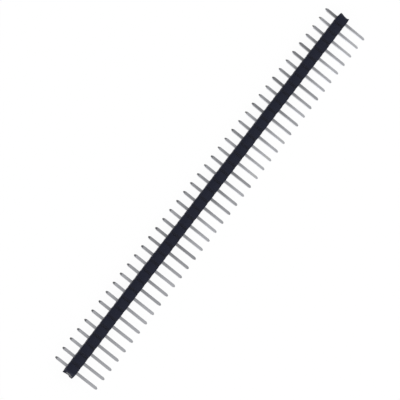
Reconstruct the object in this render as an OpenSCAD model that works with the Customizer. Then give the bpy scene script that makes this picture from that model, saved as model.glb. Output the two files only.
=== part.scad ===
// Straight single-row pin header strip, 2.54 mm pitch.
// The strip lies on one long side. X runs along the strip and is 0 at the
// first pin, +Y points along the solder tails, -Y along the mating pins, and
// Z is 0 on the side face that the strip lies on.

/* [Strip] */
// Number of pins in the strip
positions = 40; // [2:1:40]
// Distance between neighbouring pins
pitch = 2.54; // [2, 2.54]
// Thickness of the moulded strip, across the row of pins
strip_w = 2.50; // [2.3:0.05:2.6]
// Height of the moulded strip, along the pins
strip_h = 2.54; // [1.5:0.02:3]

/* [Break notches] */
// Depth of the V notch between two positions, on each side
notch_d = 0.50; // [0.3:0.05:0.6]
// Width of the V notch at the strip's side face
notch_w = 1.00; // [0.7:0.05:1.1]
// Width of the small flat at the bottom of the notch
notch_root = 0.10; // [0.05:0.05:0.2]
// How far past the middle of its notch the first end was broken off
first_stub = 0.25; // [0:0.01:0.3]
// How far past the middle of its notch the last end was broken off
last_stub = 0.12; // [0:0.01:0.3]
// Depth of the shallow hollow in the broken face at the first end
first_hollow = 0.15; // [0.05:0.01:0.25]
// Depth of the shallow hollow in the broken face at the last end
last_hollow = 0.22; // [0.05:0.01:0.25]
// Flat land left on each side of those hollows
end_land = 0.20; // [0.1:0.05:0.4]

/* [Pins] */
// Side of the square pin wire
pin_w = 0.64; // [0.5:0.02:0.7]
// Length of a solder tail beyond the strip
tail_l = 3.25; // [2.5:0.05:4.5]
// Length of a mating pin beyond the strip
mate_l = 5.60; // [5:0.05:8]
// Length of the coined taper at the tip of a solder tail
tail_tip_l = 0.45; // [0.2:0.05:0.8]
// Length of the coined taper at the tip of a mating pin
mate_tip_l = 0.40; // [0.2:0.05:0.8]
// Side of the small square flat left at a pin's tip
tip_w = 0.32; // [0.2:0.02:0.4]

/* [Pin holes] */
// Depth and width of the lead-in chamfer at each mouth of a pin hole
lead_in = 0.08; // [0.05:0.01:0.15]

/* [Hidden] */
mid_z = strip_w / 2;
first_x = -pitch / 2 - first_stub;
last_x = (positions - 0.5) * pitch + last_stub;
// centre line of the notch on the left of position i, counted from 0
function notch_x(i) = (i - 0.5) * pitch;

// height of a notch's surface at a distance from its middle, where s is the
// height of the side face and d the height of the bottom of the notch
function notch_z(x, s, d) = d + (s - d)
    * max(0, x - notch_root / 2) / (notch_w / 2 - notch_root / 2);

// one long side of the strip, from the first end to the last. Each end was
// broken off a little past the middle of its notch
function side_line(s, d) = concat(
    [[first_x, notch_z(first_stub, s, d)]],
    first_stub > notch_root / 2 ? [[notch_x(0) - notch_root / 2, d]] : [],
    [[notch_x(0) + notch_root / 2, d], [notch_x(0) + notch_w / 2, s]],
    [for (i = [1 : positions - 1])
        for (p = [[-notch_w / 2, s], [-notch_root / 2, d],
                  [notch_root / 2, d], [notch_w / 2, s]])
            [notch_x(i) + p[0], p[1]]],
    [[notch_x(positions) - notch_w / 2, s], [notch_x(positions) - notch_root / 2, d]],
    last_stub > notch_root / 2 ? [[notch_x(positions) + notch_root / 2, d]] : [],
    [[last_x, notch_z(last_stub, s, d)]]);

function turned(v) = [for (i = [len(v) - 1 : -1 : 0]) v[i]];

// radius of a hollow of depth h, from half its chord
half_chord = strip_h / 2 - end_land;
function hollow_r(h) = (half_chord * half_chord + h * h) / (2 * h);

// half of a pin's outline; the other half is its mirror image
pin_top = strip_h / 2 + tail_l;
pin_bottom = -strip_h / 2 - mate_l;
pin_half = [
    [tip_w / 2, pin_bottom],
    [pin_w / 2, pin_bottom + mate_tip_l],
    [pin_w / 2, pin_top - tail_tip_l],
    [tip_w / 2, pin_top]];

// half of a pin hole's outline, run past both faces of the strip
hole_half = [
    [pin_w / 2 + lead_in, -strip_h / 2 - 1],
    [pin_w / 2 + lead_in, -strip_h / 2],
    [pin_w / 2, -strip_h / 2 + lead_in],
    [pin_w / 2, strip_h / 2 - lead_in],
    [pin_w / 2 + lead_in, strip_h / 2],
    [pin_w / 2 + lead_in, strip_h / 2 + 1]];

function both_sides(h) =
    concat(h, turned([for (p = h) [-p[0], p[1]]]));

function pin_name(i) = str("pin_", i < 10 ? "0" : "", i);

// all the square pin holes at once: where the holes' outline seen from above
// meets the same outline seen from the end of the strip
module pin_holes() {
    translate([0, 0, mid_z]) intersection() {
        linear_extrude(height = strip_w, center = true)
            for (i = [0 : positions - 1])
                translate([i * pitch, 0]) polygon(both_sides(hole_half));
        translate([first_x, 0, 0]) rotate([0, 90, 0])
            linear_extrude(height = last_x - first_x)
                polygon(both_sides(hole_half));
    }
}

// the moulded strip: octagonal positions joined by webs, with a hole for each
// pin and a shallow hollow in the broken web at each end
module insulator_strip() {
    color([0.14, 0.145, 0.19]) difference() {
        rotate([90, 0, 0]) linear_extrude(height = strip_h, center = true)
            polygon(concat(side_line(0, notch_d),
                           turned(side_line(strip_w, strip_w - notch_d))));
        pin_holes();
        translate([first_x + first_hollow - hollow_r(first_hollow), 0, -1])
            cylinder(r = hollow_r(first_hollow), h = strip_w + 2, $fn = 128);
        translate([last_x - last_hollow + hollow_r(last_hollow), 0, -1])
            cylinder(r = hollow_r(last_hollow), h = strip_w + 2, $fn = 128);
    }
}

// one square pin with a coined taper at each tip, i counted from 1
module contact_pin(i) {
    if (i <= positions)
        color([0.74, 0.74, 0.75]) translate([(i - 1) * pitch, 0, mid_z])
            intersection() {
                linear_extrude(height = pin_w + 1, center = true)
                    polygon(both_sides(pin_half));
                rotate([0, 90, 0])
                    linear_extrude(height = pin_w + 1, center = true)
                        polygon(both_sides(pin_half));
            }
}

insulator_strip();
contact_pin(1);  // pin_01
contact_pin(2);  // pin_02
contact_pin(3);  // pin_03
contact_pin(4);  // pin_04
contact_pin(5);  // pin_05
contact_pin(6);  // pin_06
contact_pin(7);  // pin_07
contact_pin(8);  // pin_08
contact_pin(9);  // pin_09
contact_pin(10);  // pin_10
contact_pin(11);  // pin_11
contact_pin(12);  // pin_12
contact_pin(13);  // pin_13
contact_pin(14);  // pin_14
contact_pin(15);  // pin_15
contact_pin(16);  // pin_16
contact_pin(17);  // pin_17
contact_pin(18);  // pin_18
contact_pin(19);  // pin_19
contact_pin(20);  // pin_20
contact_pin(21);  // pin_21
contact_pin(22);  // pin_22
contact_pin(23);  // pin_23
contact_pin(24);  // pin_24
contact_pin(25);  // pin_25
contact_pin(26);  // pin_26
contact_pin(27);  // pin_27
contact_pin(28);  // pin_28
contact_pin(29);  // pin_29
contact_pin(30);  // pin_30
contact_pin(31);  // pin_31
contact_pin(32);  // pin_32
contact_pin(33);  // pin_33
contact_pin(34);  // pin_34
contact_pin(35);  // pin_35
contact_pin(36);  // pin_36
contact_pin(37);  // pin_37
contact_pin(38);  // pin_38
contact_pin(39);  // pin_39
contact_pin(40);  // pin_40
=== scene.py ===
import math
import random

import bmesh
import bpy
from mathutils import Matrix, Vector, noise


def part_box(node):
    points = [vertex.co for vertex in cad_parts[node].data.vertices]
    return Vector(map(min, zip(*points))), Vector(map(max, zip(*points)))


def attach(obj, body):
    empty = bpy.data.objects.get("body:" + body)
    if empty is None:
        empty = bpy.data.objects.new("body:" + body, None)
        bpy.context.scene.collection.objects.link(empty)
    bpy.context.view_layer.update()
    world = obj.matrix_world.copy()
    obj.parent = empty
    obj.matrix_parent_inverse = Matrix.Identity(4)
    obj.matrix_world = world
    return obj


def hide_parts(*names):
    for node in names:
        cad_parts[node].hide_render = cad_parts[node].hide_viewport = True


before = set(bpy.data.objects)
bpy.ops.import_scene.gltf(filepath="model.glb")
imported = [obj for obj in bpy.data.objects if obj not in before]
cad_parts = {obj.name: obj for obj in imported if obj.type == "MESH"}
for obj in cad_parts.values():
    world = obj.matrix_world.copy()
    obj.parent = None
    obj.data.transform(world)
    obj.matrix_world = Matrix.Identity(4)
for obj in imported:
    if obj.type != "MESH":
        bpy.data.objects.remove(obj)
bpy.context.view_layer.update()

scene = bpy.context.scene
MM = 0.001

# ---------------------------------------------------------------------------
# sizes, in millimetres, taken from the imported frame
# ---------------------------------------------------------------------------
pin_nodes = sorted(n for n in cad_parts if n.startswith("pin_"))
boxes = {n: [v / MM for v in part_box(n)] for n in ["insulator_strip"] + pin_nodes}
strip_lo, strip_hi = boxes["insulator_strip"]
pin_lo, pin_hi = boxes[pin_nodes[0]]
COUNT = len(pin_nodes)
PIN_X = [(boxes[n][0].x + boxes[n][1].x) / 2 for n in pin_nodes]
PITCH = (PIN_X[-1] - PIN_X[0]) / (COUNT - 1)
MID_Z = (strip_lo.z + strip_hi.z) / 2
HALF_W = (strip_hi.z - strip_lo.z) / 2          # half the strip across the pins
HALF_H = (strip_hi.y - strip_lo.y) / 2          # half the strip along the pins
PIN_R = (pin_hi.z - pin_lo.z) / 2               # half the square wire
TAIL_END, MATE_END = pin_hi.y, pin_lo.y

# the construction's smaller sizes, which a box doesn't hold
NOTCH_D, NOTCH_W, NOTCH_ROOT = 0.50, 1.00, 0.10
TAIL_TIP, MATE_TIP, TIP_R = 0.45, 0.40, 0.16
LEAD_IN = 0.08

# rounding left by the mould and by the wire drawing
EDGE_R = 0.035        # long edges and the rims of the two pin faces
CORNER_R = 0.085      # mouth corners of a break notch
ROOT_R = 0.085        # bottom of a break notch
WIRE_R = 0.045        # corners of the square wire


# ---------------------------------------------------------------------------
# small helpers
# ---------------------------------------------------------------------------
def arc_path(points, radii, steps):
    """A polyline with each inner corner rounded: [(x, z, nx, nz)], the normal
    to the left of the direction of travel."""
    out = []

    def left(a, b):
        d = (b - a).normalized()
        return Vector((-d.y, d.x))

    pts = [Vector(p) for p in points]
    n0 = left(pts[0], pts[1])
    out.append((pts[0].x, pts[0].y, n0.x, n0.y))
    for i in range(1, len(pts) - 1):
        a, b, c = pts[i - 1], pts[i], pts[i + 1]
        u, v = (a - b).normalized(), (c - b).normalized()
        turn = math.pi - u.angle(v)
        t = radii[i] * math.tan(turn / 2)
        p, q = b + u * t, b + v * t
        na, nc = left(a, b), left(b, c)
        side = 1 if (b - a).x * (c - b).y - (b - a).y * (c - b).x > 0 else -1
        centre = p + na * radii[i] * side
        for k in range(steps[i] + 1):
            f = k / steps[i]
            n = (na * math.sin((1 - f) * turn) + nc * math.sin(f * turn)) / math.sin(turn)
            n.normalize()
            s = centre - n * radii[i] * side
            out.append((s.x, s.y, n.x, n.y))
    n1 = left(pts[-2], pts[-1])
    out.append((pts[-1].x, pts[-1].y, n1.x, n1.y))
    return out


def subdivide(path, longest):
    """Adds points on straight stretches longer than longest."""
    out = [path[0]]
    for a, b in zip(path, path[1:]):
        n = max(1, math.ceil(math.hypot(b[0] - a[0], b[1] - a[1]) / longest - 1e-6))
        for k in range(1, n + 1):
            f = k / n
            p = [a[j] + (b[j] - a[j]) * f for j in range(4)]
            m = math.hypot(p[2], p[3])
            out.append((p[0], p[1], p[2] / m, p[3] / m))
    return out


def at_x(path, x):
    """The point of a path, monotonic in x, at x."""
    if x <= path[0][0]:
        return path[0]
    for a, b in zip(path, path[1:]):
        if x <= b[0]:
            f = 0 if b[0] == a[0] else (x - a[0]) / (b[0] - a[0])
            p = [a[j] + (b[j] - a[j]) * f for j in range(4)]
            m = math.hypot(p[2], p[3])
            return (p[0], p[1], p[2] / m, p[3] / m)
    return path[-1]


def past(path, x):
    """The point of one position's outline at x. Past the middle of a notch
    the outline is that of the next position, its mirror image."""
    over = abs(x) - PITCH / 2
    if over <= 0:
        return at_x(path, x)
    p = at_x(path, math.copysign(PITCH / 2 - over, x))
    return (x, p[1], -p[2], p[3])


def smooth(t, a=0.0, b=1.0):
    t = min(1.0, max(0.0, (t - a) / (b - a)))
    return t * t * (3 - 2 * t)


def curve(points, t):
    """A smooth line through (place, value) points, in rising order."""
    for (a, u), (b, v) in zip(points, points[1:]):
        if t <= b:
            return u + (v - u) * smooth(t, a, b)
    return points[-1][1]


def finish_mesh(bm, name, material, attributes, sharp=40):
    bmesh.ops.recalc_face_normals(bm, faces=bm.faces)
    me = bpy.data.meshes.new(name)
    bm.to_mesh(me)
    bm.free()
    me.materials.append(material)
    for p in me.polygons:
        p.use_smooth = True
    me.set_sharp_from_angle(angle=math.radians(sharp))
    ob = bpy.data.objects.new(name, me)
    scene.collection.objects.link(ob)
    w = ob.modifiers.new("even_normals", "WEIGHTED_NORMAL")
    w.keep_sharp = True
    w.weight = 60
    return ob


# ---------------------------------------------------------------------------
# materials
# ---------------------------------------------------------------------------
class Nodes:
    """Short way to write a node tree."""

    def __init__(self, name):
        self.mat = bpy.data.materials.new(name)
        self.mat.use_nodes = True
        self.tree = self.mat.node_tree
        self.bsdf = self.tree.nodes["Principled BSDF"]

    def __call__(self, kind, settings=None, **inputs):
        n = self.tree.nodes.new(kind)
        for k, v in (settings or {}).items():
            setattr(n, k, v)
        for k, v in inputs.items():
            self.put(n.inputs[int(k[1:])] if k[0] == "i" and k[1:].isdigit() else n.inputs[k.replace("_", " ")], v)
        return n

    def put(self, socket, v):
        if isinstance(v, bpy.types.NodeSocket):
            self.tree.links.new(v, socket)
        else:
            socket.default_value = v

    def math(self, op, a, b=0.0, c=0.0, clamp=False):
        n = self("ShaderNodeMath", {"operation": op, "use_clamp": clamp}, i0=a, i1=b, i2=c)
        return n.outputs[0]

    def noise(self, vector, scale, detail=2.0, rough=0.5, distortion=0.0):
        n = self("ShaderNodeTexNoise", None, Vector=vector, Scale=scale, Detail=detail, Roughness=rough, Distortion=distortion)
        return n.outputs[0]

    def span(self, value, a, b, c, d, smoothstep=False):
        n = self("ShaderNodeMapRange", {"interpolation_type": "SMOOTHSTEP" if smoothstep else "LINEAR"}, i0=value, i1=a, i2=b, i3=c, i4=d)
        return n.outputs[0]

    def mix(self, factor, a, b, blend="MIX"):
        n = self("ShaderNodeMix", {"data_type": "RGBA", "blend_type": blend})
        self.put(n.inputs[0], factor)
        self.put(n.inputs[6], a)
        self.put(n.inputs[7], b)
        return n.outputs[2]

    def attribute(self, name):
        return self("ShaderNodeAttribute", {"attribute_name": name}).outputs["Fac"]


def moulded_black():
    """Black glass-filled moulding plastic: a faint blue cast, a fine spark
    texture from the mould, pale cloudy flow marks, a painted sheen across
    the faces, painted light in the break notches, painted shade on the
    snapped faces, and paler patches where the strip was snapped off."""
    n = Nodes("moulded_black")
    co = n("ShaderNodeTexCoord").outputs["Object"]
    sep = n("ShaderNodeSeparateXYZ", None, Vector=co).outputs
    flow_co = n("ShaderNodeMapping", None, Vector=co, Scale=(0.45, 1.0, 1.0)).outputs[0]
    flow = n.noise(flow_co, 900, 3.0, 0.6, 0.6)
    grain = n.noise(co, 11000, 2.0, 0.6)
    speck = n.noise(co, 26000, 1.0, 0.5)
    # painted sheen: the faces are painted lighter towards the mating side
    across = n.span(sep[1], -0.00125, 0.00125, 1.0, 0.0)
    tone = n.math("MULTIPLY_ADD", flow, 0.55, n.math("MULTIPLY", across, 0.45))
    base = n.mix(n.span(tone, 0.25, 0.80, 0.0, 1.0), (0.0246, 0.0281, 0.0505, 1), (0.0366, 0.0409, 0.0677, 1))
    fleck = n.span(speck, 0.66, 0.76, 0.0, 0.35)
    base = n.mix(fleck, base, (0.040, 0.040, 0.050, 1))
    # the rubbed long edges are a little paler
    rub = n.math("MULTIPLY", n.attribute("rub"), n.span(n.noise(co, 4200, 3.0, 0.6), 0.40, 0.68, 0.0, 0.5))
    base = n.mix(rub, base, (0.036, 0.036, 0.046, 1))
    # painted light: the break notches are painted greyer, to lift the shade in them
    notch_painted_light = n.math("MULTIPLY", n.attribute("notch"), n.span(grain, 0.25, 0.75, 0.75, 1.0), clamp=True)
    base = n.mix(notch_painted_light, base, (0.0540, 0.0565, 0.0800, 1))
    # broken ends: painted shade makes the snapped faces darker, and patches on them are paler
    torn_co = n("ShaderNodeMapping", None, Vector=co, Scale=(1.0, 1.0, 0.40)).outputs[0]
    crumb = n.noise(torn_co, 7600, 4.0, 0.68, 0.15)
    base = n.mix(n.math("MULTIPLY", n.attribute("torn"), 0.45), base, (0.008, 0.009, 0.016, 1))
    pale = n.math("MULTIPLY", n.span(crumb, 0.36, 0.62, 0.30, 1.0), n.span(speck, 0.30, 0.70, 0.80, 1.10))
    white = n.math("MULTIPLY", n.attribute("broken"), pale, clamp=True)
    base = n.mix(white, base, (0.410, 0.410, 0.418, 1))
    n.put(n.bsdf.inputs["Base Color"], base)
    rough = n.math("MULTIPLY_ADD", flow, 0.16, n.span(grain, 0.3, 0.7, 0.46, 0.58))
    n.put(n.bsdf.inputs["Roughness"], n.math("MULTIPLY_ADD", n.attribute("torn"), 0.4, rough, clamp=True))
    n.bsdf.inputs["Specular IOR Level"].default_value = 0.13
    height = n.math("MULTIPLY_ADD", grain, 0.7, n.math("MULTIPLY", flow, 2.2))
    height = n.math("MULTIPLY_ADD", n.math("MULTIPLY", n.attribute("torn"), crumb), 4.0, height)
    bump = n("ShaderNodeBump", None, Strength=0.55, Distance=0.000006, Height=height)
    n.put(n.bsdf.inputs["Normal"], bump.outputs["Normal"])
    return n.mat


def tin_plate():
    """Matte tin over brass wire: cloudy grains, lines from the drawing die
    along the pin, painted shade that darkens it towards the strip, on the
    tips and on the wire's corners, and a cut end where brass shows
    through smeared tin."""
    n = Nodes("tin_plate")
    co = n("ShaderNodeTexCoord").outputs["Object"]
    sep = n("ShaderNodeSeparateXYZ", None, Vector=co).outputs
    line_co = n("ShaderNodeMapping", None, Vector=co, Scale=(1.0, 0.035, 1.0)).outputs[0]
    lines = n.noise(line_co, 13000, 3.0, 0.6)
    cloud = n.noise(co, 2300, 3.0, 0.55, 0.4)
    crystal = n("ShaderNodeTexVoronoi", {"feature": "F1"}, Vector=co, Scale=5200.0, Randomness=1.0)
    facet = n("ShaderNodeSeparateColor", None, Color=crystal.outputs["Color"]).outputs[0]
    # how far out from the strip: 0 at the strip, 1 at the tip
    mate = n.span(sep[1], -0.00125, -0.0056, 0.0, 1.0)
    tail = n.span(sep[1], 0.00125, 0.0040, 0.0, 1.0)
    is_mate = n.math("LESS_THAN", sep[1], 0.0)
    # painted shade: darker towards the strip, and the tails darker overall
    out_mate = n.span(mate, 0.0, 1.0, 0.80, 1.0, True)
    out_tail = n.span(tail, 0.0, 1.0, 0.74, 0.86, True)
    root_painted_shade = n.math("ADD", n.math("MULTIPLY", is_mate, out_mate), n.math("MULTIPLY", n.math("SUBTRACT", 1.0, is_mate), out_tail))
    shade = n.math("MULTIPLY_ADD", cloud, 0.16, n.math("MULTIPLY_ADD", lines, 0.10, n.math("MULTIPLY_ADD", facet, 0.05, 0.84)))
    # painted shade: the coined faces of a tip and the corners of the wire are painted darker, and the tips of the far
    # pins lighter
    tip_and_corner_shade = n.math("MULTIPLY", n.math("SUBTRACT", 1.0, n.attribute("coin")), n.math("MULTIPLY_ADD", n.attribute("corner"), -0.30, 1.0))
    shade = n.math("MULTIPLY", n.math("MULTIPLY", shade, tip_and_corner_shade), n.math("MULTIPLY", root_painted_shade, n.attribute("tone")))
    colour = n("ShaderNodeCombineColor", None, i0=n.math("MULTIPLY", shade, 0.886), i1=n.math("MULTIPLY", shade, 0.897), i2=n.math("MULTIPLY", shade, 0.943)).outputs[0]
    cut = n.math("MULTIPLY", n.attribute("cut"), n.span(n.noise(co, 9000, 2.0, 0.6), 0.30, 0.62, 0.55, 1.0), clamp=True)
    colour = n.mix(cut, colour, (0.300, 0.265, 0.200, 1))
    n.put(n.bsdf.inputs["Base Color"], colour)
    n.bsdf.inputs["Metallic"].default_value = 1.0
    rough = n.math("MULTIPLY_ADD", cloud, 0.12, n.math("MULTIPLY_ADD", lines, 0.08, 0.17))
    n.put(n.bsdf.inputs["Roughness"], n.math("MULTIPLY_ADD", cut, 0.22, rough, clamp=True))
    height = n.math("MULTIPLY_ADD", cloud, 1.6, n.math("MULTIPLY_ADD", facet, 0.25, n.math("MULTIPLY", lines, 0.8)))
    bump = n("ShaderNodeBump", None, Strength=0.5, Distance=0.000004, Height=height)
    n.put(n.bsdf.inputs["Normal"], bump.outputs["Normal"])
    return n.mat


PLASTIC = moulded_black()
TIN = tin_plate()


# ---------------------------------------------------------------------------
# the moulded strip
# ---------------------------------------------------------------------------
def cell_profile():
    """Upper outline of one position, from the middle of one notch to the
    middle of the next, around x = 0 and z = 0."""
    h, d = HALF_W, HALF_W - NOTCH_D
    pts = [(-PITCH / 2, d), (-PITCH / 2 + NOTCH_ROOT / 2, d), (-PITCH / 2 + NOTCH_W / 2, h),
           (PITCH / 2 - NOTCH_W / 2, h), (PITCH / 2 - NOTCH_ROOT / 2, d), (PITCH / 2, d)]
    radii = [0, ROOT_R, CORNER_R, CORNER_R, ROOT_R, 0]
    return subdivide(arc_path(pts, radii, [0, 3, 3, 3, 3, 0]), 0.27)


END_X = {-1: strip_lo.x, 1: strip_hi.x}         # where the two snapped webs end
# how each web broke: depth of the hollow from the mating side to the tails'
# side, and how far the upper edge tore back behind the lower one
BREAK = {
    -1: (((-1.0, 0.0), (-0.44, 0.01), (-0.33, 0.10), (-0.08, 0.15), (0.20, 0.12), (0.50, 0.11), (0.63, 0.03), (1.0, 0.02)), 0.22),
    1: (((-1.0, 0.0), (-0.88, 0.03), (-0.56, 0.28), (-0.10, 0.20), (0.10, 0.17), (0.34, 0.06), (0.66, 0.0), (1.0, 0.0)), 0.04)}
# how much the broken end narrows on the mating side and on the tails' side
PINCH = {-1: (0.03, 0.04), 1: (0.06, 0.17)}


def torn_depth(y, z, end):
    """How far the snapped web lies inside the strip's end, at y and z."""
    line, back = BREAK[end]
    u = y / HALF_H
    bowl = curve(line, u)
    p = Vector((y * 3.1 + 17 * end, z * 3.1 - 9 * end, 4.7 * end))
    rough = noise.fractal(p, 0.9, 2.1, 4, noise_basis="PERLIN_ORIGINAL")
    inner = smooth(1 - abs(u), 0.0, 0.10)
    tear = back * (0.45 * smooth(z, -0.75, 0.10) + 0.55 * smooth(z, -0.05, 0.85))
    return max(0.0, bowl + tear + inner * (0.026 + 0.030 * rough))


def torn_grain(y, z, end):
    """The grain of a snapped face: hackle that runs from notch to notch, with
    steps between its ridges and fine crumbs on them."""
    a = noise.noise(Vector((y * 6.5, z * 2.2, 3.3 * end + 8)))
    b = noise.noise(Vector((y * 15, z * 7, 7.1 * end - 3)))
    c = noise.noise(Vector((y * 26, z * 22, 2.9 * end + 5)))
    return 0.045 * (1 - 2 * abs(a)) - 0.020 + 0.022 * b + 0.012 * c


def whitened(y, z, end):
    """Where a snapped face is paler: the upper part of the near web, and
    a fainter patch on the far one."""
    a = noise.noise(Vector((y * 2.3, z * 1.9, 5.0 * end + 2)))
    b = noise.noise(Vector((y * 6.1, z * 4.3, end - 4)))
    u, w = y + 0.20 * a + 0.08 * b, z + 0.16 * a + 0.16 * b
    if end < 0:
        across = curve(((-1.2, 0.0), (-1.0, 0.5), (-0.82, 0.75), (-0.68, 0.5), (-0.40, 0.9), (0.0, 1.0), (0.40, 0.85), (0.78, 0.0)), u)
        return across * (0.45 * smooth(w, -0.85, -0.30) + 0.55 * smooth(w, -0.25, 0.25)) * smooth(-z, -1.05, -0.88)
    across = smooth(u, -0.95, -0.50) * smooth(-u, -0.95, -0.45)
    return 0.55 * across * smooth(w, -0.50, 0.15)


def slimmer(c, x, y):
    """How much of its height position c keeps at x from its pin: the two end
    positions are pinched towards the snapped web."""
    if (c == 0 and x < 0) or (c == COUNT - 1 and x > 0):
        return 1.0 - PINCH[-1 if c == 0 else 1][1 if y > 0 else 0] / HALF_H * smooth(abs(x), 0.45, 1.05)
    return 1.0


def moulded_strip():
    bm = bmesh.new()
    rub = bm.verts.layers.float.new("rub")
    broken = bm.verts.layers.float.new("broken")
    notch = bm.verts.layers.float.new("notch")
    torn = bm.verts.layers.float.new("torn")
    snapped = bm.faces.layers.int.new("snapped")
    cell = cell_profile()
    n_cell = len(cell) - 1
    # stations along the pins' direction: (y, how far the outline is drawn in)
    rounded = [(HALF_H - EDGE_R + EDGE_R * math.sin(a), EDGE_R - EDGE_R * math.cos(a)) for a in (0, math.pi / 6, math.pi / 3, math.pi / 2)]
    inner = 20
    flat = [(-(HALF_H - EDGE_R) + 2 * (HALF_H - EDGE_R) * k / inner, 0.0) for k in range(1, inner)]
    stations = [(-y, i) for y, i in reversed(rounded)] + flat + rounded
    web = 10                                   # steps across a web, top to bottom

    def vert(x, y, z, r=0.0, b=0.0, g=0.0):
        x = min(END_X[1], max(END_X[-1], x))
        v = bm.verts.new((x * MM, y * MM, (z + MID_Z) * MM))
        v[rub], v[broken], v[notch] = r, b, g
        return v

    def sunk(x, y):
        """The faint sink that the thick part around a pin leaves."""
        u = min(1.0, abs(x) / (PITCH / 2 - NOTCH_W / 2))
        w = min(1.0, abs(y) / HALF_H)
        return 0.010 * (1 - u ** 4) * (1 - w ** 4)

    # long sides: chains[side][station][i] from the first end to the last
    chains = {}
    for side in (1, -1):
        rows = []
        for y, inset in stations:
            row = []
            for c in range(COUNT):
                for i, p in enumerate(cell if c == 0 else cell[1:]):
                    x, q = p[0], p
                    near_a = c == 0 and x < 0
                    near_b = c == COUNT - 1 and x > 0
                    b = 0.0
                    if near_a or near_b:
                        # the end webs stop at the snapped face: the points
                        # close up towards it and stay on the outline
                        end = -1 if near_a else 1
                        stop = abs(END_X[end] - PIN_X[c]) - torn_depth(y, side * 0.8, end)
                        reach = NOTCH_W / 2 + 0.12
                        run = PITCH / 2 - abs(x)
                        if run < reach:
                            x = end * (stop - run * (stop - PITCH / 2 + reach) / reach)
                            q = past(cell, x)
                            if side > 0:
                                b = 0.12 * whitened(y, 0.7, end) * smooth(1 - run / 0.06, 0, 1)
                    z = q[1] - sunk(q[0], y)
                    slope = 1.0 - abs(q[3])
                    r = 1.0 if inset > 0 else (0.8 if 0.08 < slope < 0.25 and q[1] > HALF_W - 0.1 else 0.0)
                    # how much painted light lifts the shade in a notch, less at the first end
                    g = smooth((HALF_W - q[1]) / NOTCH_D, 0.0, 0.9) * (0.2 if near_a else 1.0)
                    slim = slimmer(c, x, y)
                    row.append(vert(PIN_X[c] + q[0] - q[2] * inset, y * slim, side * (z - q[3] * inset), r, b, g))
            rows.append(row)
        chains[side] = rows
        for s in range(len(rows) - 1):
            for i in range(len(rows[s]) - 1):
                bm.faces.new((rows[s][i], rows[s][i + 1], rows[s + 1][i + 1], rows[s + 1][i]))

    # the two snapped webs
    ends = {}
    for end, at in ((-1, 0), (1, -1)):
        grid = []
        for s, (y, inset) in enumerate(stations):
            top, bottom = chains[1][s][at], chains[-1][s][at]
            col = [top]
            for k in range(1, web):
                f = k / web
                z = ((top.co.z * (1 - f) + bottom.co.z * f) / MM) - MID_Z
                d = torn_depth(y, z, end)
                edge = smooth(f, 0.0, 0.12) * smooth(1 - f, 0.0, 0.12)
                x_edge = (top.co.x * (1 - f) + bottom.co.x * f) / MM
                x = x_edge * (1 - edge) + (END_X[end] - end * d) * edge
                col.append(vert(x, (top.co.y * (1 - f) + bottom.co.y * f) / MM, z))
            col.append(bottom)
            grid.append(col)
        ends[end] = grid
        for s in range(len(grid) - 1):
            for k in range(web):
                bm.faces.new((grid[s][k], grid[s][k + 1], grid[s + 1][k + 1], grid[s + 1][k]))[snapped] = end + 2

    # the two faces that the pins stand out of, with their square holes
    mouths = {}
    for cap, s in ((1, len(stations) - 1), (-1, 0)):
        y = cap * HALF_H
        lines = []
        for c in range(COUNT + 1):
            if c == 0:
                lines.append(ends[-1][s])
            elif c == COUNT:
                lines.append(ends[1][s])
            else:
                top, bottom = chains[1][s][c * n_cell], chains[-1][s][c * n_cell]
                line = [top]
                for k in range(1, web):
                    f = k / web
                    z = (top.co.z * (1 - f) + bottom.co.z * f) / MM - MID_Z
                    line.append(vert(PIN_X[c] - PITCH / 2, y, z))
                line.append(bottom)
                lines.append(line)
        for c in range(COUNT):
            i0 = c * n_cell
            loop = chains[1][s][i0:i0 + n_cell + 1] + lines[c + 1][1:-1]
            loop += chains[-1][s][i0:i0 + n_cell + 1][::-1] + lines[c][1:-1][::-1]
            count = len(loop)
            # the same number of points round the hole, each facing its own
            # point of the outline
            def ring(half, radius, yy, rr=0.0):
                verts = []
                for v in loop:
                    ax, az = v.co.x / MM - PIN_X[c], v.co.z / MM - MID_Z
                    a = math.atan2(az / HALF_W, ax / (PITCH / 2))
                    # a point of the rounded square in direction a
                    ca, sa = math.cos(a), math.sin(a)
                    m = max(abs(ca), abs(sa))
                    px, pz = ca / m * half, sa / m * half
                    k = half - radius
                    if abs(px) > k and abs(pz) > k:
                        cx, cz = math.copysign(k, px), math.copysign(k, pz)
                        d = Vector((px - cx, pz - cz))
                        d.normalize()
                        px, pz = cx + d.x * radius, cz + d.y * radius
                    verts.append(vert(PIN_X[c] + px, yy, pz, rr))
                return verts

            def between(f, target):
                verts = []
                for v, t in zip(loop, target):
                    x = (v.co.x * (1 - f) + t.co.x * f) / MM
                    verts.append(vert(x, y * slimmer(c, x - PIN_X[c], y), (v.co.z * (1 - f) + t.co.z * f) / MM - MID_Z))
                return verts

            hole = PIN_R + 0.0025
            mouth = ring(PIN_R + LEAD_IN + 0.012, 0.07, y)
            # closer steps where the face curves in towards a snapped web
            steps = (0.14, 0.28, 0.42, 0.57, 0.72, 0.86) if c in (0, COUNT - 1) else (0.42,)
            rings = [loop] + [between(f, mouth) for f in steps] + [mouth,
                     ring(PIN_R + LEAD_IN - 0.006, 0.06, cap * (HALF_H - 0.016)),
                     ring(hole, 0.03, cap * (HALF_H - LEAD_IN))]
            for a, b in zip(rings, rings[1:]):
                for k in range(count):
                    bm.faces.new((a[k], a[(k + 1) % count], b[(k + 1) % count], b[k]))
            mouths[(c, cap)] = rings[-1]
    for c in range(COUNT):
        a, b = mouths[(c, 1)], mouths[(c, -1)]
        for k in range(len(a)):
            bm.faces.new((a[k], a[(k + 1) % len(a)], b[(k + 1) % len(b)], b[k]))

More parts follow.
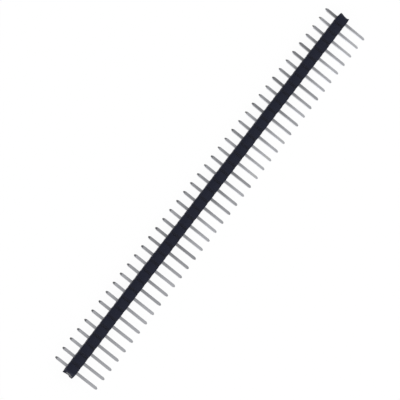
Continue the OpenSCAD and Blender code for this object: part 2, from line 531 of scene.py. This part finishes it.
    # the snapped faces get a finer net, for the grain of the torn plastic
    for end in (-1, 1):
        edges = list({e for f in bm.faces if f[snapped] == end + 2 for e in f.edges})
        bmesh.ops.subdivide_edges(bm, edges=edges, cuts=3, use_grid_fill=True)
        face_of = [f for f in bm.faces if f[snapped] == end + 2]
        for v in {v for f in face_of for v in f.verts}:
            y, z = v.co.y / MM, v.co.z / MM - MID_Z
            if all(f[snapped] == end + 2 for f in v.link_faces):
                v.co.x -= end * max(0.0, 0.022 + torn_grain(y, z, end)) * MM
                v[broken], v[torn] = whitened(y, z, end), 1.0
    # the faces beside that net are fanned out from their middles
    rim = [f for f in bm.faces if len(f.verts) > 4]
    for v in bmesh.ops.poke(bm, faces=rim)["verts"]:
        around = [e.other_vert(v) for e in v.link_edges]
        for layer in (rub, broken, notch, torn):
            v[layer] = sum(u[layer] for u in around) / len(around)
    return finish_mesh(bm, "moulded_strip", PLASTIC, (), 42)


strip = moulded_strip()
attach(strip, "root")
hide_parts("insulator_strip")


# ---------------------------------------------------------------------------
# the pins
# ---------------------------------------------------------------------------
def section(half, radius):
    """A rounded square around the origin: [(x, z)]."""
    out = []
    k = half - radius
    for q in range(4):
        a0 = q * math.pi / 2
        cx, cz = ((k, k), (-k, k), (-k, -k), (k, -k))[q]
        for j in range(5):
            a = a0 + j * math.pi / 8
            out.append((cx + radius * math.cos(a), cz + radius * math.sin(a)))
        # two points on the flat that follows this corner
        nx, nz = ((-k, half), (-half, -k), (k, -half), (half, k))[q]
        lx, lz = out[-1]
        for f in (1 / 3, 2 / 3):
            out.append((lx + (nx - lx) * f, lz + (nz - lz) * f))
    return out


def tip_stations(taper):
    """(distance from the tip, half width) from the tip towards the strip. The
    coined faces run out of the wire in a soft shoulder."""
    out = [(0.0, TIP_R - 0.018), (0.006, TIP_R - 0.005), (0.020, TIP_R + 0.004)]
    soft = 0.07
    slope = (PIN_R - TIP_R) / taper
    t = 0.02
    for k in range(1, 6):
        t = 0.02 + (taper - soft - 0.02) * k / 5
        out.append((t, TIP_R + slope * t))
    for k in range(1, 6):
        u = k / 5
        t = taper - soft + 2 * soft * u
        # a parabola from the slope to the flat
        out.append((t, PIN_R - slope * soft * (1 - u) ** 2))
    return out


def square_pin(index, node):
    rng = random.Random(4100 + index)
    bm = bmesh.new()
    tone = bm.verts.layers.float.new("tone")
    cut = bm.verts.layers.float.new("cut")
    coin = bm.verts.layers.float.new("coin")
    corner = bm.verts.layers.float.new("corner")
    lo, hi = boxes[node]
    x0 = PIN_X[index]
    # no two pins are plated alike; painted shade also darkens the tails towards the far end, lifted again on the last
    # few, and the mating pins after the first few
    spread = 0.05 if index < 6 else (0.10 if index < 13 else 0.17)
    both = rng.uniform(-0.4, 0.4) * spread
    # how much darker the coined tips are painted, painted shade; on the far pins it turns negative and paints the tips
    # lighter
    coined = 0.04 - 0.48 * smooth(index, 3, 36) - 0.25 * smooth(index, 32, 39) + rng.uniform(-1, 1) * (0.08 if index < 6 else 0.17)
    tone_t = 1.10 - 0.0102 * index + 0.10 * smooth(index, 33, 39) + both + rng.uniform(-1, 1) * spread
    tone_m = 0.955 - 0.065 * smooth(index, 0, 8) + 0.0010 * index + both + rng.uniform(-1, 1) * spread
    # painted shade where the pins leave the strip
    tail_root_shade, mate_root_shade = 0.10 * smooth(index, 20, 39), 0.16 * smooth(index, 0, 20)
    # painted shade: the wire's corners and flanks are painted darker on the first pins, dimming their reflections
    corner_painted_shade, flank_painted_shade = 2.2 - 1.7 * smooth(index, 6, 28), 1.3 * (1 - smooth(index, 4, 24))
    # pressed in a little unevenly along the strip
    short_t = 0.06 * (1 - smooth(index, 0, 10)) + 0.08 * smooth(index, 24, 38) + rng.uniform(0.0, 0.03)
    short_m = 0.13 * smooth(index, 2, 14) * (1 - 0.45 * smooth(index, 24, 38)) + rng.uniform(0.0, 0.03)
    y_tail, y_mate = hi.y - short_t, lo.y + short_m
    tail_len, mate_len = TAIL_TIP * rng.uniform(0.92, 1.05), MATE_TIP * rng.uniform(0.92, 1.05)
    tail = [(y_tail - t, h) for t, h in tip_stations(tail_len)]
    mate = [(y_mate + t, h) for t, h in tip_stations(mate_len)]
    a, b = tail[-1][0], mate[-1][0]
    steps = 18
    shaft = [(a + (b - a) * k / steps, PIN_R) for k in range(1, steps)]
    line = tail + shaft + mate[::-1]
    # a pin is never quite square to the strip
    yaw_t, yaw_m = rng.uniform(-0.006, 0.006), rng.uniform(-0.005, 0.005)
    pitch_t, pitch_m = rng.uniform(-0.006, 0.006), rng.uniform(-0.005, 0.005)

    def place(x, y, z, c, k=0.0):
        out_t, out_m = max(0.0, y - HALF_H), max(0.0, -y - HALF_H)
        v = bm.verts.new(((x0 + x + yaw_t * out_t + yaw_m * out_m) * MM, y * MM, (MID_Z + z + pitch_t * out_t + pitch_m * out_m) * MM))
        # painted shade: a pin is painted darker where it leaves the strip
        v[tone] = tone_t * (1 - tail_root_shade * (1 - smooth(out_t, 0.2, 1.8))) if y > 0 else tone_m * (1 - mate_root_shade * (1 - smooth(out_m, 0.4, 3.4)))
        v[cut] = c
        v[coin] = coined * smooth(y, y_tail - tail_len - 0.10, y_tail - tail_len + 0.06) + 0.12 * smooth(-y, -y_mate - mate_len - 0.04, -y_mate - mate_len + 0.10)
        v[corner] = k
        return v

    rings = []
    for k, (y, half) in enumerate(line):
        end = k == 0 or k == len(line) - 1
        radius = min(WIRE_R, half * 0.28)
        c = 1.0 if end else (0.6 if k in (1, len(line) - 2) else 0.0)
        rings.append([place(x, y, z, c, corner_painted_shade if abs(abs(x) - abs(z)) < radius * 0.75 else (flank_painted_shade if abs(x) > half - 0.002 else 0.0)) for x, z in section(half, radius)])
    count = len(rings[0])
    for r0, r1 in zip(rings, rings[1:]):
        for k in range(count):
            bm.faces.new((r0[k], r0[(k + 1) % count], r1[(k + 1) % count], r1[k]))
    # sheared ends: a smeared half and a torn half, a little below the rim
    for ring, y_end, inward in ((rings[0], y_tail, -1), (rings[-1], y_mate, 1)):
        ang = rng.uniform(0, 2 * math.pi)
        seed = rng.uniform(0, 50)
        prev = ring
        for f in (0.72, 0.40):
            new = []
            for v in prev if f == 0.72 else ring:
                x, z = v.co.x / MM - x0, v.co.z / MM - MID_Z
                cx = sum(u.co.x for u in ring) / count / MM - x0
                cz = sum(u.co.z for u in ring) / count / MM - MID_Z
                px, pz = cx + (x - cx) * f, cz + (z - cz) * f
                side = ((px - cx) * math.cos(ang) + (pz - cz) * math.sin(ang)) / TIP_R
                deep = 0.004 + 0.012 * smooth(side, -0.35, 0.55) + 0.005 * (0.5 + 0.5 * noise.noise(Vector((px * 22, pz * 22, seed))))
                v2 = bm.verts.new(((x0 + px) * MM, (y_end + inward * deep) * MM, (MID_Z + pz) * MM))
                v2[tone], v2[cut], v2[coin] = ring[0][tone], 1.0, ring[0][coin]
                new.append(v2)
            for k in range(count):
                bm.faces.new((prev[k], prev[(k + 1) % count], new[(k + 1) % count], new[k]))
            prev = new
        bm.faces.new(prev)
    ob = finish_mesh(bm, "tin_pin_%02d" % (index + 1), TIN, (), 38)
    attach(ob, "root")
    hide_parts(node)
    return ob


for i, node_name in enumerate(pin_nodes):
    square_pin(i, node_name)


# ---------------------------------------------------------------------------
# camera: above the strip, leaning 13 degrees towards its near end and
# 5 degrees towards the solder tails, turned so that the strip runs diagonally
# ---------------------------------------------------------------------------
lean_x, lean_y, turn = math.radians(13), math.radians(5.03), math.radians(52.33)
distance, focal_px = 0.4369, 1996.8
target = Vector((0.04657, 0.000454, 0.00125))
back = Vector((-math.tan(lean_x), math.tan(lean_y), 1)).normalized()
along = Vector((1, 0, 0))
e1 = (along - along.dot(back) * back).normalized()
e2 = back.cross(e1)
right = math.cos(turn) * e1 - math.sin(turn) * e2
up = math.sin(turn) * e1 + math.cos(turn) * e2
cam_data = bpy.data.cameras.new("camera")
cam_data.sensor_width = 36
cam_data.lens = focal_px / 400 * 36
cam_data.clip_start, cam_data.clip_end = 0.01, 100
camera = bpy.data.objects.new("camera", cam_data)
scene.collection.objects.link(camera)
camera.matrix_world = Matrix.Translation(target + distance * back) @ Matrix((
    (right.x, up.x, back.x, 0), (right.y, up.y, back.y, 0), (right.z, up.z, back.z, 0), (0, 0, 0, 1)))
scene.camera = camera


# ---------------------------------------------------------------------------
# a white light table, two soft boxes and a soft dome
# ---------------------------------------------------------------------------
def floor():
    n = Nodes("pale_floor")
    co = n("ShaderNodeTexCoord").outputs["Object"]
    tint = n.noise(co, 3.0, 2.0, 0.5)
    n.put(n.bsdf.inputs["Base Color"], n.mix(n.span(tint, 0.3, 0.7, 0.0, 1.0), (0.128, 0.128, 0.128, 1), (0.132, 0.132, 0.132, 1)))
    n.bsdf.inputs["Roughness"].default_value = 0.9
    n.bsdf.inputs["Specular IOR Level"].default_value = 0.1
    n.bsdf.inputs["Emission Color"].default_value = (1, 1, 1, 1)
    n.bsdf.inputs["Emission Strength"].default_value = 0.935
    bpy.ops.mesh.primitive_plane_add(size=12)
    f = bpy.context.object
    f.name = "floor"
    f.data.materials.append(n.mat)


floor()

world = bpy.data.worlds.new("soft_dome")
scene.world = world
world.use_nodes = True
wt = world.node_tree
wc = wt.nodes.new("ShaderNodeTexCoord")
ws = wt.nodes.new("ShaderNodeSeparateXYZ")
wt.links.new(wc.outputs["Generated"], ws.inputs[0])


def wmath(op, a, b, clamp=False):
    m = wt.nodes.new("ShaderNodeMath")
    m.operation, m.use_clamp = op, clamp
    for s, v in zip(m.inputs, (a, b)):
        if isinstance(v, bpy.types.NodeSocket):
            wt.links.new(v, s)
        else:
            s.default_value = v
    return m.outputs[0]


def wspan(value, a, b, c, d):
    m = wt.nodes.new("ShaderNodeMapRange")
    m.interpolation_type = "SMOOTHSTEP"
    wt.links.new(value, m.inputs[0])
    for k, v in ((1, a), (2, b), (3, c), (4, d)):
        m.inputs[k].default_value = v
    return m.outputs[0]


# darker overhead than at the horizon, darkest high up on the side of the
# solder tails, and falling off towards the far end
sideways = wmath("MINIMUM", wmath("MAXIMUM", ws.outputs[0], -0.25), 0.45)
sky = wmath("ADD", wmath("ADD", wmath("MULTIPLY", ws.outputs[1], -0.126), wmath("MULTIPLY", sideways, -0.190)), 0.450)
sky = wmath("MULTIPLY", sky, wspan(ws.outputs[1], 0.10, 0.62, 1.0, 0.30))
sky = wmath("MULTIPLY", sky, wspan(ws.outputs[1], -0.85, -0.35, 0.80, 1.0))
band = wspan(ws.outputs[2], 0.10, 0.45, 1.0, 0.0)
low = wmath("MULTIPLY", band, wspan(ws.outputs[2], 0.01, 0.12, 1.02, 0.66))
high = wmath("MULTIPLY", wmath("SUBTRACT", 1.0, band), sky)
wt.links.new(wmath("ADD", low, high), wt.nodes["Background"].inputs[1])
wt.nodes["Background"].inputs[0].default_value = (1, 1, 1, 1)


def softbox(name, place, width, height, power):
    light = bpy.data.lights.new(name, "AREA")
    light.shape = "RECTANGLE"
    light.size, light.size_y = width, height
    light.energy = power
    ob = bpy.data.objects.new(name, light)
    scene.collection.objects.link(ob)
    ob.location = place
    ob.rotation_mode = "QUATERNION"
    ob.rotation_quaternion = (Vector((0.05, 0, 0)) - Vector(place)).to_track_quat("-Z", "Y")


softbox("softbox_near", (-0.67, 0.0, 0.45), 1.9, 0.95, 1.5)
softbox("softbox_far", (0.77, 0.0, 0.42), 1.9, 0.95, 1.7)

scene.view_settings.view_transform = "Standard"
